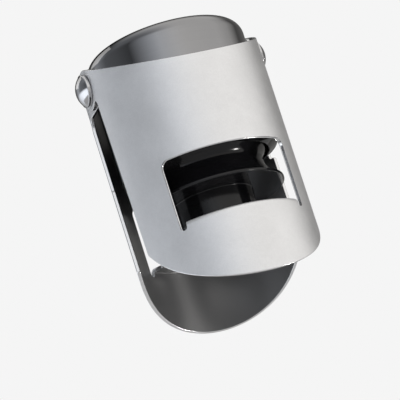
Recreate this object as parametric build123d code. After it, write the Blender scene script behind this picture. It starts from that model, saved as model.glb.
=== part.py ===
from build123d import *
import math
import os

# A stopper with two hinged wings, in millimetres. +Z runs up its axis from the
# centre of the seal's face. The front wing faces -Y, the rear wing faces +Y, and
# both turn on one line of rivets that runs along X.

# Fits between pieces
press_clearance = 0.02
running_clearance = 0.05
side_clearance = 0.03
bore_clearance = 0.3
overrun = 2.0

# Seal and its plug
plug_radius = 8.4
plug_length = 6.0
plug_lead = 0.8
collar_radius = 13.5
flange_overhang = 1.45
flange_rim = 0.5
waist_depth = 1.5
waist_height = 4.9
collar_start = 7.4
collar_length = 2.0

# Plunger, its screw and its clip
stem_radius = 3.0
stem_tip = 0.97
disc_thickness = 2.0
disc_relief = 0.2
spigot_relief = 0.2
clip_thickness = 0.8
clip_overhang = 2.0
clip_groove = 0.6
clip_mouth = 3.4
seal_washer_radius = 6.2
seal_washer_thickness = 0.9
screw_radius = 1.5
screw_length = 9.0
screw_head_radius = 3.1
screw_head_height = 1.9
screw_head_crown = 0.5
screw_key = 2.5
screw_key_depth = 1.2

# Travel of the cap on the plunger, and the spring between them
travel = 3.0
travel_margin = 0.5
head_room = 1.8
spring_length = 11.2
spring_wire = 1.4
spring_radius = 7.4
spring_turns = 4.5
arcs_per_turn = 4
spring_seat_thickness = 0.8
spring_seat_overhang = 2.0

# Housing and guide bush
mouth_wall = 2.2
mouth_overlap = 0.7
mouth_edge = 0.2
mouth_chamfer = 1.2
chamber_room = 0.6
web_thickness = 2.6
pocket_room = 1.75
bush_wall = 1.6
bush_flange = 1.6
bush_flange_thickness = 0.6

# Cap
cap_proud = 0.1
cap_wall = 0.6
cap_height = 10.0
cap_shoulder = 3.0
cap_rise = 6.4

# Rivets and washers, along X
rivet_radius = 1.5
rivet_floor = 2.1
journal_radius = 2.0
head_radius = 3.3
head_rim = 0.8
head_step_radius = 2.35
head_step = 0.2
head_crown = 1.1
head_edge = 0.2
inner_washer_thickness = 0.15
middle_washer_thickness = 0.15
washer_band = 1.1

# Wings
wing_gap = 1.4
sheet = 0.7
ear_radius = 4.1
ear_room = 0.3
front_half_angle = 79.0
rear_lower_half_angle = 75.0
arm_lap = 0.5
rear_step_drop = 19.7
scoop_drop = 2.9
scoop_margin = 0.35
lip_drop = 7.1
lip_depth = 2.2
fold_radius = 0.95
window_height = 12.9
window_half_angle = 44.5
window_corner = 1.8
notch_width = 1.7
notch_depth = 1.9
tongue_drop = 14.2
blank_radius = 30.3
curve_steps = 8

# Radii that follow, from the plunger outwards
seal_bore = stem_radius + press_clearance
flange_radius = collar_radius + flange_overhang
waist_radius = collar_radius - waist_depth
mouth_bore = collar_radius + bore_clearance
housing_radius = mouth_bore + mouth_wall
cap_radius = housing_radius + cap_proud
cap_bore = cap_radius - cap_wall
housing_neck_radius = cap_bore - side_clearance
spring_seat_radius = spring_radius + spring_seat_overhang
chamber_radius = spring_seat_radius + chamber_room
bush_radius = stem_radius + running_clearance + bush_wall
bush_hole = bush_radius + press_clearance
pocket_radius = bush_radius + bush_flange + pocket_room
rivet_end = pocket_radius + rivet_floor
wing_bore = cap_radius + wing_gap
wing_radius = wing_bore + sheet
sheet_middle = wing_bore + sheet / 2
lip_bore = wing_bore - lip_depth

# Heights that follow, from the seal's face upwards
seal_top = collar_start + collar_length
disc_top = seal_top + disc_thickness
mouth_height = collar_start - mouth_overlap
bore_top = disc_top + travel + travel_margin
seat_height = disc_top + spring_length
web_bottom = seat_height + spring_seat_thickness
web_top = web_bottom + web_thickness
bush_top = web_top + bush_flange_thickness
clip_bottom = bush_top + side_clearance
clip_top = clip_bottom + clip_thickness
stem_top = clip_top + stem_tip
housing_top = stem_top + travel + head_room
cap_top = housing_top + cap_wall
cap_edge = cap_top - cap_height
pivot_height = cap_top - cap_rise

# Heights that follow, from the seal's face downwards
screw_seat = -plug_length - seal_washer_thickness
lip_top = -lip_drop
fold_start = lip_top - fold_radius
window_top = lip_top + window_height
notch_bottom = lip_top - notch_depth
tongue_bottom = lip_top - tongue_drop
rear_step_height = pivot_height - rear_step_drop

# Places that follow along X, from the cap's side outwards
washer_start = cap_radius + side_clearance
rear_ear_start = washer_start + inner_washer_thickness + side_clearance
middle_washer_start = rear_ear_start + sheet + side_clearance
front_ear_start = middle_washer_start + middle_washer_thickness + side_clearance
head_start = front_ear_start + sheet + side_clearance
journal_hole = journal_radius + running_clearance
washer_radius = journal_hole + washer_band

# The rear wing's flat arms, which run into the middle of its sheet
arm_middle = rear_ear_start + sheet / 2
arm_reach = math.sqrt(sheet_middle**2 - arm_middle**2)
rear_half_angle = math.degrees(math.asin(arm_middle / sheet_middle) + arm_lap / sheet_middle)

quarter_turn = 90.0
full_turn = 360.0


def turned(edges, degrees=full_turn):
    """Turn a closed outline of (radius, height) edges about the Z axis."""
    return revolve(Plane.XZ * make_face(edges), Axis.Z, degrees)


def turned_points(points, degrees=full_turn):
    """Turn a polygon of (radius, height) points about the Z axis."""
    return turned(Polyline(*points, close=True).edges(), degrees)


def tube(outer, inner, low, high):
    """Make a round tube along Z."""
    return turned_points([(inner, low), (outer, low), (outer, high), (inner, high)])


def rod(radius, low, high):
    """Make a round rod along Z."""
    return Pos(0, 0, low) * Cylinder(radius, high - low, align=(Align.CENTER, Align.CENTER, Align.MIN))


def at_pivot(shape, side):
    """Lay a shape that was made along Z on the pivot line, on side +1 or -1 of X."""
    return Pos(0, 0, pivot_height) * Rot(0, side * quarter_turn, 0) * shape


def mouth_seal():
    """Make the soft seal: plug, flange, waist and the collar that the plunger pushes."""
    side = Spline(
        (flange_radius, flange_rim),
        (waist_radius, waist_height),
        (collar_radius, collar_start),
        tangents=[(-flange_overhang, flange_rim), (0, waist_height), (0, collar_start)],
    )
    rest = Polyline(
        (collar_radius, collar_start),
        (collar_radius, seal_top),
        (seal_bore, seal_top),
        (seal_bore, -plug_length),
        (plug_radius - plug_lead, -plug_length),
        (plug_radius, plug_lead - plug_length),
        (plug_radius, 0),
        (flange_radius, 0),
        (flange_radius, flange_rim),
    )
    return turned([side] + rest.edges())


def plunger():
    """Make the disc on the seal, with its spigot below and its guided stem above."""
    spigot_end = spigot_relief - plug_length
    body = tube(collar_radius - disc_relief, 0, seal_top, disc_top)
    body += rod(stem_radius, spigot_end, stem_top)
    body -= rod(screw_radius, spigot_end - overrun, screw_seat + screw_length)
    groove = tube(stem_radius + overrun, stem_radius - clip_groove, clip_bottom, clip_top)
    return body - groove


def seal_washer():
    """Make the steel washer that carries the seal's plug."""
    return tube(seal_washer_radius, screw_radius + running_clearance, screw_seat, -plug_length)


def seal_screw():
    """Make the cap-headed screw that holds seal, washer and plunger together."""
    head_bottom = screw_seat - screw_head_height
    shank = rod(screw_radius - press_clearance, screw_seat, screw_seat + screw_length)
    head = rod(screw_head_radius, head_bottom, screw_seat)
    head = fillet(head.edges().sort_by(Axis.Z)[:1], screw_head_crown)
    key = extrude(RegularPolygon(screw_key / 2, 6, major_radius=False), screw_key_depth + overrun)
    return head + shank - Pos(0, 0, head_bottom - overrun) * key


def stem_clip():
    """Make the open clip in the stem's groove, which stops the cap's upward travel."""
    inner = stem_radius - clip_groove + press_clearance
    outer = stem_radius + clip_overhang
    ring = tube(outer, inner, clip_bottom, clip_top)
    height = clip_thickness + 2 * overrun
    mouth = Box(clip_mouth, outer + overrun, height, align=(Align.CENTER, Align.MIN, Align.CENTER))
    return ring - Pos(0, 0, clip_bottom) * mouth


def coil_path(radius, pitch, turns, low):
    """Join pairs of tangent arcs, one pair for each step, along a rising coil."""
    step = 2 * math.pi / arcs_per_turn
    rise = pitch / (2 * math.pi)

    def point(turn):
        return Vector(radius * math.cos(turn), radius * math.sin(turn), low + rise * turn)

    def heading(turn):
        return Vector(-radius * math.sin(turn), radius * math.cos(turn), rise).normalized()

    edges = []
    for index in range(round(turns * arcs_per_turn)):
        first, last = point(index * step), point((index + 1) * step)
        leave, arrive = heading(index * step), heading((index + 1) * step)
        span = last - first
        square = 2 - 2 * leave.dot(arrive)
        linear = 2 * span.dot(leave + arrive)
        reach = (math.sqrt(linear**2 + 4 * square * span.dot(span)) - linear) / (2 * square)
        knee_in, knee_out = first + leave * reach, last - arrive * reach
        middle = (knee_in + knee_out) * 0.5
        edges.append(TangentArc(first, middle, tangent=leave))
        edges.append(TangentArc(middle, last, tangent=(knee_out - knee_in).normalized()))
    return Wire(edges)


def least_turn_gap(path, wire, turns):
    """Measure the least space between neighbouring turns on points along the path."""
    per_turn = 24
    count = round(turns * per_turn)
    points = [path.position_at(index / count) for index in range(count + 1)]
    far = per_turn // 2
    return min(
        (points[i] - points[j]).length - wire
        for i in range(count + 1)
        for j in range(i + far, count + 1)
    )


def compression_spring():
    """Make the coil that pushes the cap away from the plunger."""
    pitch = (spring_length - spring_wire - 2 * side_clearance) / spring_turns
    low = disc_top + side_clearance + spring_wire / 2
    path = coil_path(spring_radius, pitch, spring_turns, low)
    print("spring: least gap between turns", round(least_turn_gap(path, spring_wire, spring_turns), 3))
    section = Plane(origin=path @ 0, z_dir=path % 0) * Circle(spring_wire / 2)
    return sweep(section, path=path)


def spring_seat():
    """Make the washer that takes the spring's upper end."""
    return tube(spring_seat_radius, stem_radius + bore_clearance, seat_height, web_bottom)


def guide_bush():
    """Make the flanged bush in the housing's web that guides the stem."""
    inner = stem_radius + running_clearance
    return turned_points([
        (inner, web_bottom),
        (bush_radius, web_bottom),
        (bush_radius, web_top),
        (bush_radius + bush_flange, web_top),
        (bush_radius + bush_flange, bush_top),
        (inner, bush_top),
    ])


def housing():
    """Make the moulded housing: mouth for the collar, spring chamber, web and pocket."""
    round_radius = cap_shoulder - cap_wall
    shoulder_height = housing_top - round_radius
    shoulder = RadiusArc(
        (housing_neck_radius, shoulder_height),
        (housing_neck_radius - round_radius, housing_top),
        -round_radius,
    )
    inside = Polyline(
        (housing_neck_radius - round_radius, housing_top),
        (pocket_radius, housing_top),
        (pocket_radius, web_top),
        (bush_hole, web_top),
        (bush_hole, web_bottom),
        (chamber_radius, web_bottom),
        (chamber_radius, bore_top),
        (mouth_bore, bore_top),
        (mouth_bore, mouth_height),
        (mouth_bore + mouth_edge, mouth_height),
        (housing_radius, mouth_height + mouth_chamfer),
        (housing_radius, cap_edge),
        (housing_neck_radius, cap_edge),
        (housing_neck_radius, shoulder_height),
    )
    body = turned([shoulder] + inside.edges())
    hole = rod(rivet_radius + press_clearance, rivet_end - rivet_radius, cap_radius)
    return body - at_pivot(hole, 1) - at_pivot(hole, -1)


def cap_shell():
    """Make the drawn cap over the housing, with a hole for each rivet."""
    bend = cap_top - cap_shoulder
    outer = RadiusArc((cap_radius, bend), (cap_radius - cap_shoulder, cap_top), -cap_shoulder)
    inner = RadiusArc((cap_bore, bend), (cap_radius - cap_shoulder, housing_top), cap_wall - cap_shoulder)
    crown = Polyline(
        (cap_radius - cap_shoulder, cap_top),
        (0, cap_top),
        (0, housing_top),
        (cap_radius - cap_shoulder, housing_top),
    )
    skirt = Polyline((cap_bore, bend), (cap_bore, cap_edge), (cap_radius, cap_edge), (cap_radius, bend))
    shell = turned([outer, inner] + crown.edges() + skirt.edges())
    hole = rod(rivet_radius + press_clearance, -cap_radius - overrun, cap_radius + overrun)
    return shell - at_pivot(hole, 1)


def pivot_rivet(side):
    """Make a shouldered rivet: shank in the housing, journal for the ears, stepped head."""
    step_start = head_start + head_rim
    crown_start = step_start + head_step
    crown_end = crown_start + head_crown
    crown = ThreePointArc(
        (0, crown_end),
        (head_step_radius / 2, crown_start + head_crown * math.cos(math.pi / 6)),
        (head_step_radius, crown_start),
    )
    rest = Polyline(
        (head_step_radius, crown_start),
        (head_step_radius, step_start),
        (head_radius - head_edge, step_start),
        (head_radius, step_start - head_edge),
        (head_radius, head_start),
        (journal_radius, head_start),
        (journal_radius, washer_start),
        (rivet_radius, washer_start),
        (rivet_radius, rivet_end),
        (0, rivet_end),
        (0, crown_end),
    )
    return at_pivot(turned([crown] + rest.edges()), side)


def ear_washer(side, start, thickness):
    """Make a thin washer on the journal, from start outwards."""
    return at_pivot(tube(washer_radius, journal_hole, start, start + thickness), side)


def rolled(along, height):
    """Place a point of the flat blank on the rolled sheet, as seen from the front."""
    return (wing_radius * math.sin(along / wing_radius), height)


def rounded(first, last, first_way, last_way):
    """Join two points with a smooth curve that leaves and arrives in the given ways."""
    return Spline(first, last, tangents=[first_way, last_way])


def window_outline():
    """Draw the window with its top corners and the two relief notches at the lip's ends."""
    half = wing_radius * math.radians(window_half_angle)
    notch_centre = notch_bottom + notch_width / 2
    up, down, out, home = (0, 1), (0, -1), (1, 0), (-1, 0)
    edges = []
    for side in (1, -1):
        away, back = (out, home) if side == 1 else (home, out)
        outer, inner = side * half, side * (half - notch_width)
        middle = side * (half - notch_width / 2)
        corner = side * (half - window_corner)
        edges += [
            Line(rolled(0, window_top), rolled(corner, window_top)),
            rounded(rolled(corner, window_top), rolled(outer, window_top - window_corner), away, down),
            Line(rolled(outer, window_top - window_corner), rolled(outer, notch_centre)),
            rounded(rolled(outer, notch_centre), rolled(middle, notch_bottom), down, back),
            rounded(rolled(middle, notch_bottom), rolled(inner, notch_centre), back, up),
            Line(rolled(inner, notch_centre), rolled(inner, fold_start)),
            Line(rolled(inner, fold_start), rolled(0, fold_start)),
        ]
    return edges


def tongue_outline(half_angle):
    """Draw what lies below the wing's lower edge, which is one round arc of the flat blank."""
    half = wing_radius * math.radians(half_angle)
    points = []
    for index in range(-curve_steps, curve_steps + 1):
        along = half * index / curve_steps
        lift = blank_radius - math.sqrt(blank_radius**2 - along**2)
        points.append(rolled(along, tongue_bottom + lift))
    low = tongue_bottom - overrun
    below = Polyline(points[-1], (points[-1][0], low), (points[0][0], low), points[0])
    return [Spline(*points)] + below.edges()


def front_cutter(edges):
    """Push a closed outline, drawn as seen from the front, right through the wing."""
    return extrude(Plane.XZ * make_face(edges), wing_radius + overrun)


def above_scoop():
    """Make the wedge above the sloping upper edge, from the front of the wing to its pivots."""
    front = -wing_radius
    ear_top = pivot_height + ear_radius + scoop_margin
    scoop = pivot_height - scoop_drop
    slope = (ear_top - scoop) / wing_radius
    low = scoop - overrun * slope
    outline = Polyline(
        (front - overrun, low),
        (0, ear_top),
        (0, ear_top + overrun),
        (front - overrun, ear_top + overrun),
        close=True,
    )
    return extrude(Plane.YZ * make_face(outline.edges()), wing_radius + overrun, both=True)


def wing_sheet(half_angle, upper_half_angle, step_height):
    """Roll the sheet: side edges, window, notches, tongue and scoop, cut square to the sheet."""
    top = pivot_height + ear_radius
    corners = [
        (wing_bore, tongue_bottom),
        (wing_radius, tongue_bottom),
        (wing_radius, top),
        (wing_bore, top),
    ]
    sector = Rot(0, 0, -quarter_turn - half_angle) * turned_points(corners, 2 * half_angle)
    skin = sector.faces().filter_by(GeomType.CYLINDER).sort_by(SortBy.AREA)[-1]
    skin -= front_cutter(window_outline())
    skin -= front_cutter(tongue_outline(half_angle))
    skin -= above_scoop()
    if upper_half_angle < half_angle:
        edge = wing_radius * math.sin(math.radians(upper_half_angle))
        strip = Box(wing_radius, wing_radius + overrun, top, align=(Align.MIN, Align.MAX, Align.MIN))
        skin -= Pos(edge, 0, step_height) * strip
        skin -= Pos(-edge - wing_radius, 0, step_height) * strip
    return thicken(skin.face(), -sheet)


def gripping_lip():
    """Make the lip that is folded inwards from the window's lower edge, between its notches."""
    inner_fold = fold_radius - sheet
    outer_bend = RadiusArc((wing_radius, fold_start), (wing_radius - fold_radius, lip_top), -fold_radius)
    inner_bend = RadiusArc((wing_bore, fold_start), (wing_bore - inner_fold, lip_top - sheet), -inner_fold)
    upper = Polyline(
        (wing_radius - fold_radius, lip_top),
        (lip_bore, lip_top),
        (lip_bore, lip_top - sheet),
        (wing_bore - inner_fold, lip_top - sheet),
    )
    root = Line((wing_bore, fold_start), (wing_radius, fold_start))
    half = window_half_angle - math.degrees(notch_width / wing_radius)
    lip = turned([outer_bend, inner_bend, root] + upper.edges(), 2 * half)
    return Rot(0, 0, -quarter_turn - half) * lip


def bored(wing):
    """Bore both ears for the journals."""
    hole = rod(journal_hole, -wing_radius - overrun, wing_radius + overrun)
    return wing - at_pivot(hole, 1)


def front_wing():
    """Make the front wing, whose ears lie outside the rear wing's ears."""
    wing = wing_sheet(front_half_angle, front_half_angle, pivot_height)
    pocket = rod(ear_radius + ear_room, 0, front_ear_start)
    ear = rod(ear_radius, front_ear_start, front_ear_start + sheet)
    for side in (1, -1):
        wing -= at_pivot(pocket, side)
        wing += at_pivot(ear, side)
    return bored(wing + gripping_lip())


def rear_wing():
    """Make the rear wing, whose ears reach forward on flat arms inside the front wing's ears."""
    wing = wing_sheet(rear_lower_half_angle, rear_half_angle, rear_step_height)
    arm = Box(sheet, arm_reach, 2 * ear_radius, align=(Align.MIN, Align.MAX, Align.CENTER))
    ear = rod(ear_radius, rear_ear_start, rear_ear_start + sheet)
    for side in (1, -1):
        start = rear_ear_start if side == 1 else -rear_ear_start - sheet
        wing += Pos(start, 0, pivot_height) * arm + at_pivot(ear, side)
    wing -= above_scoop()
    return Rot(0, 0, 2 * quarter_turn) * bored(wing + gripping_lip())


PARTS = {
    "mouth_seal": mouth_seal(),
    "plunger": plunger(),
    "seal_washer": seal_washer(),
    "seal_screw": seal_screw(),
    "stem_clip": stem_clip(),
    "compression_spring": compression_spring(),
    "spring_seat": spring_seat(),
    "guide_bush": guide_bush(),
    "housing": housing(),
    "cap_shell": cap_shell(),
    "front_wing": front_wing(),
    "rear_wing": rear_wing(),
}
for word, side in (("right", 1), ("left", -1)):
    PARTS["pivot_rivet_" + word] = pivot_rivet(side)
    PARTS["inner_washer_" + word] = ear_washer(side, washer_start, inner_washer_thickness)
    PARTS["middle_washer_" + word] = ear_washer(side, middle_washer_start, middle_washer_thickness)

os.makedirs("parts", exist_ok=True)
for node, shape in PARTS.items():
    export_step(shape, f"parts/{node}.step")
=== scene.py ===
"""A champagne stopper: two hinged steel wings over a sprung cap and a soft seal.

The stopper's sizes are in millimetres, in the same frame as the CAD solids: +Z runs up
its axis, -Y faces the front wing and X is the pivot line. Meshes are written in metres,
and the floor's and the lamps' sizes are in metres too.
"""

from __future__ import annotations

import logging
import math
from collections.abc import Callable, Mapping, Sequence
from dataclasses import dataclass, field
from enum import Enum

import bpy
import numpy as np
from mathutils import Matrix, Vector
from mathutils.geometry import delaunay_2d_cdt

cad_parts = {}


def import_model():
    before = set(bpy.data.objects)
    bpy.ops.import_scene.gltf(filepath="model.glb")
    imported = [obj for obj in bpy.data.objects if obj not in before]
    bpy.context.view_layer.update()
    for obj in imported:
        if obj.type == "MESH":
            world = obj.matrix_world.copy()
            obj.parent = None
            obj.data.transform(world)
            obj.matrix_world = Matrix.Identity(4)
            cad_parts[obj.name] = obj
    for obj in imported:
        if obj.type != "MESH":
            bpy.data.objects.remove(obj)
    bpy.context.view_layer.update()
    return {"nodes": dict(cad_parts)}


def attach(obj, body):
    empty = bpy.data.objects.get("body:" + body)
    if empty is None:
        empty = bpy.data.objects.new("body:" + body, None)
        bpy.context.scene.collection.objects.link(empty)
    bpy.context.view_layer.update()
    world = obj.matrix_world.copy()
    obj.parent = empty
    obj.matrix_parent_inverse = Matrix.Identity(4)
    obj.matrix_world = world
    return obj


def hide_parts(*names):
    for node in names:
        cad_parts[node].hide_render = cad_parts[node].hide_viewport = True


Array = np.ndarray
Colour = tuple[float, float, float]

MILLIMETRE = 0.001
QUARTER = math.pi / 2
# Lengths that count as none and as on the axis, and the step that measures a slope
NO_LENGTH, ON_AXIS, SLOPE_STEP = 1e-9, 1e-6, 1e-4
# How far from an edge a flat side starts to shade flat
FLAT_GUARD = 0.03
# Turns a point of the blank's right half into its twin on the left
MIRROR = (-1.0, 1.0)

log = logging.getLogger("stopper")


# Shader maths


def operator(operation: str, swapped: bool = False) -> Callable[[Socket, object], Socket]:
    """Make the method that stands for an arithmetic operator.

    Args:
        operation: the Math node's operation.
        swapped: whether self is the second term.

    Returns:
        A method that takes the other term, a Socket or a number.
    """

    def method(self: Socket, other: Socket | float) -> Socket:
        """Add the Math node."""
        terms = (other, self) if swapped else (self, other)
        inputs = dict(enumerate(terms))
        return self.graph.add("ShaderNodeMath", {"operation": operation}, inputs)

    return method


class Socket:
    """A value or colour that a node gives, with arithmetic that adds Math nodes."""

    def __init__(self, graph: Graph, link: bpy.types.NodeSocket) -> None:
        """Keep the node tree that the output belongs to, and the output."""
        self.graph = graph
        self.link = link

    __add__ = __radd__ = operator("ADD")
    __mul__ = __rmul__ = operator("MULTIPLY")
    __sub__ = operator("SUBTRACT")
    __rsub__ = operator("SUBTRACT", swapped=True)
    __truediv__ = operator("DIVIDE")
    __pow__ = operator("POWER")
    larger = operator("MAXIMUM")

    def between(self, low: float, high: float) -> Socket:
        """Rise smoothly from 0 at low to 1 at high.

        Args:
            low: the value that gives 0.
            high: the value that gives 1.

        Returns:
            The eased value.
        """
        settings = {"interpolation_type": "SMOOTHSTEP"}
        inputs = {"Value": self, "From Min": low, "From Max": high}
        return self.graph.add("ShaderNodeMapRange", settings, inputs, "Result")


class Graph:
    """The node tree of one material or world."""

    # The Mix node's sockets for colours, which share their names with those for values
    MIX_SHARE, MIX_FIRST, MIX_SECOND, MIX_RESULT = 0, 6, 7, 2

    def __init__(self, tree: bpy.types.NodeTree) -> None:
        """Start with an empty tree."""
        self.tree = tree
        self.tree.nodes.clear()

    def add(
        self,
        kind: str,
        settings: Mapping[str, object] | None = None,
        inputs: Mapping[str | int, object] | None = None,
        output: str | int = 0,
    ) -> Socket:
        """Add a node.

        Args:
            kind: the node's type.
            settings: its properties, which are set before its inputs.
            inputs: a value or a Socket for each input that is named or numbered.
            output: the output that is wanted.

        Returns:
            The chosen output, or for a node without outputs a Socket without a link.
        """
        node = self.tree.nodes.new(kind)
        for name, value in (settings or {}).items():
            if name == "stops":
                self._set_stops(node.color_ramp, value)
            else:
                setattr(node, name, value)
        for name, value in (inputs or {}).items():
            if isinstance(value, Socket):
                self.tree.links.new(value.link, node.inputs[name])
            else:
                node.inputs[name].default_value = value
        return Socket(self, node.outputs[output] if len(node.outputs) else None)

    @staticmethod
    def _set_stops(ramp: bpy.types.ColorRamp, levels: Sequence[float]) -> None:
        """Give a ramp grey stops at equal distances."""
        while len(ramp.elements) < len(levels):
            ramp.elements.new(1.0)
        for index, (element, level) in enumerate(zip(ramp.elements, levels)):
            element.position = index / (len(levels) - 1)
            element.color = (level, level, level, 1.0)

    def place(self, scale: Colour = (1.0, 1.0, 1.0)) -> Socket:
        """Give the place on the object in metres, times a scale along each axis."""
        spot = self.add("ShaderNodeTexCoord", output="Object")
        return self.add("ShaderNodeMapping", None, {"Vector": spot, "Scale": scale})

    def noise(self, spot: Socket, scale: float, detail: float = 2.0, rough: float = 0.5) -> Socket:
        """Give a noise value around 0.5 at a place."""
        inputs = {"Vector": spot, "Scale": scale, "Detail": detail, "Roughness": rough}
        return self.add("ShaderNodeTexNoise", None, inputs)

    def blend(self, share: Socket, first: Socket | Colour, second: Socket | Colour) -> Socket:
        """Mix two colours: the first where the share is 0, the second where it is 1."""
        ends = [
            colour if isinstance(colour, Socket) else (*colour, 1.0) for colour in (first, second)
        ]
        inputs = {self.MIX_SHARE: share, self.MIX_FIRST: ends[0], self.MIX_SECOND: ends[1]}
        return self.add("ShaderNodeMix", {"data_type": "RGBA"}, inputs, self.MIX_RESULT)

    def axes(self, spot: Socket) -> list[Socket]:
        """Give the X, Y and Z of a place or direction."""
        parts = self.add("ShaderNodeSeparateXYZ", None, {"Vector": spot}).link.node.outputs
        return [Socket(self, part) for part in parts]

    def mark(self, name: str) -> Socket:
        """Give the value of an attribute of the mesh."""
        return self.add("ShaderNodeAttribute", {"attribute_name": name}, output="Fac")

    def bump(self, height: Socket, depth: float) -> Socket:
        """Give a normal that follows a height, where 1 stands for a depth in millimetres."""
        inputs = {"Height": height, "Strength": 1.0, "Distance": depth * MILLIMETRE}
        return self.add("ShaderNodeBump", None, inputs)

    def surface(self, inputs: Mapping[str, object]) -> None:
        """Add the Principled shader with these inputs and send it to the output."""
        shader = self.add("ShaderNodeBsdfPrincipled", None, inputs)
        self.add("ShaderNodeOutputMaterial", None, {"Surface": shader})


def new_material(name: str) -> tuple[bpy.types.Material, Graph]:
    """Give a new material and its empty node tree."""
    material = bpy.data.materials.new(name)
    material.use_nodes = True
    return material, Graph(material.node_tree)


# Finishes


class Grain(Enum):
    """How the surface of a metal was worked."""

    SATIN = "blasted to an even satin"
    SPUN = "spun round the axis"
    POLISHED = "polished all over"
    DRAWN = "drawn through a die"


def lightened(colour: Colour, factor: float) -> Colour:
    """Give a colour times a factor, held to 1."""
    return tuple(min(1.0, part * factor) for part in colour)


@dataclass(frozen=True)
class Metal:
    """Bare steel with its colour, its roughness and the marks of its working."""

    name: str
    colour: Colour
    roughness: float
    grain: Grain
    variation: float = 0.05
    bump_depth: float = 0.004
    # Where the piece is marked as polished: the roughness, and the loss of its marks
    edge_roughness: float | None = None
    edge_calm: float = 0.8
    # Where it is marked as inner: the colour's factor, which is painted shade that darkens
    # the inner face, the loss of metallic shine and the gain of roughness
    inner_painted_shade: float = 0.22
    inner_dulling: float = 0.5
    inner_roughening: float = 0.3

    # Noise scales, for one metre
    SATIN_FINE, SATIN_BROAD, SPUN_MARKS = 5200.0, 1100.0, 5000.0
    DRAWN_MARKS, POLISHED_MARKS, SMUDGES = 4000.0, 1400.0, 160.0
    # The scale of drawn marks along each axis, smaller where they are stretched
    DRAWN_STRETCH = (1.0, 1.0, 0.4)
    # The fine noise's share of satin marks, and the marks' share of the colour's tone
    FINE_SHARE, MARK_SHARE = 0.7, 0.6
    # The tone from the darker to the lighter colour, and the roughness's even part with
    # what marks and smudges add
    TONE_SPAN, ROUGH_PARTS = (0.3, 0.7), (0.8, 0.25, 0.15)

    def _marks(self, graph: Graph) -> Socket:
        """Give the height of the working marks, around 0.5.

        Satin metal has a fine and a broader even noise, drawn metal has noise stretched
        along Z, spun metal has noise of the distance from the axis and the height, and
        polished metal has one broad noise.

        Args:
            graph: the material's node tree.

        Returns:
            The height as a value.
        """
        if self.grain is Grain.SATIN:
            fine = graph.noise(graph.place(), self.SATIN_FINE, 2.0, 0.6)
            broad = graph.noise(graph.place(), self.SATIN_BROAD, 3.0)
            return fine * self.FINE_SHARE + broad * (1.0 - self.FINE_SHARE)
        if self.grain is Grain.SPUN:
            east, north, height = graph.axes(graph.place())
            radius = (east * east + north * north) ** 0.5
            ring = graph.add("ShaderNodeCombineXYZ", None, {"X": radius, "Z": height})
            return graph.noise(ring, self.SPUN_MARKS, 3.0, 0.6)
        if self.grain is Grain.DRAWN:
            return graph.noise(graph.place(self.DRAWN_STRETCH), self.DRAWN_MARKS)
        return graph.noise(graph.place(), self.POLISHED_MARKS, 3.0)

    def make(self) -> bpy.types.Material:
        """Build the material.

        Returns:
            A material whose colour, roughness and bump follow the working marks. With an
            edge roughness it reads two attributes of the piece: polish is 1 where the
            metal is smoother, and inner is 1 where it is duller and darker by painted shade.
        """
        material, graph = new_material(self.name)
        marks = self._marks(graph)
        smudge = graph.noise(graph.place(), self.SMUDGES, 3.0, 0.55)
        tone = marks * self.MARK_SHARE + smudge * (1.0 - self.MARK_SHARE)
        low, high = (lightened(self.colour, 1.0 + side * self.variation) for side in (-1, 1))
        colour = graph.blend(tone.between(*self.TONE_SPAN), low, high)
        even, by_marks, by_smudge = self.ROUGH_PARTS
        rough = self.roughness * (even + by_marks * marks + by_smudge * smudge)
        metallic: Socket | float = 1.0
        height = marks
        if self.edge_roughness is not None:
            polish, inner = graph.mark("polish"), graph.mark("inner")
            smooth = self.edge_roughness * (1.0 + self.inner_roughening * inner)
            rough = rough * (1.0 - polish) + polish * smooth
            metallic = 1.0 - self.inner_dulling * inner
            height = marks * (1.0 - self.edge_calm * polish)
            # Painted shade: the colour is darkened on the inner face
            colour = graph.blend(inner, colour, lightened(self.colour, self.inner_painted_shade))
        graph.surface(
            {
                "Base Color": colour,
                "Metallic": metallic,
                "Roughness": rough,
                "Normal": graph.bump(height, self.bump_depth),
            }
        )
        return material


@dataclass(frozen=True)
class Moulded:
    """A moulded plastic or rubber with a fine skin and slight wear of its gloss."""

    name: str
    colour: Colour
    roughness: float
    pebble_scale: float = 2500.0
    bump_depth: float = 0.002
    worn_share: float = 0.3
    shine: float = 0.5

    # The worn patches: their noise scale, for one metre, the noise from fresh to worn,
    # and how much of the lifted colour shows
    WEAR_SCALE, WEAR_SPAN, WEAR_SHARE, WEAR_LIFT = 220.0, (0.45, 0.8), 0.6, 1.6

    def make(self) -> bpy.types.Material:
        """Build the material: its colour lifts and its gloss dulls where it is handled."""
        material, graph = new_material(self.name)
        skin = graph.noise(graph.place(), self.pebble_scale, 3.0)
        wear = graph.noise(graph.place(), self.WEAR_SCALE, 4.0, 0.6).between(*self.WEAR_SPAN)
        worn = lightened(self.colour, self.WEAR_LIFT)
        graph.surface(
            {
                "Base Color": graph.blend(wear * self.WEAR_SHARE, self.colour, worn),
                "Roughness": self.roughness * (1.0 + self.worn_share * wear),
                "Specular IOR Level": self.shine,
                "Normal": graph.bump(skin, self.bump_depth),
            }
        )
        return material


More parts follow.
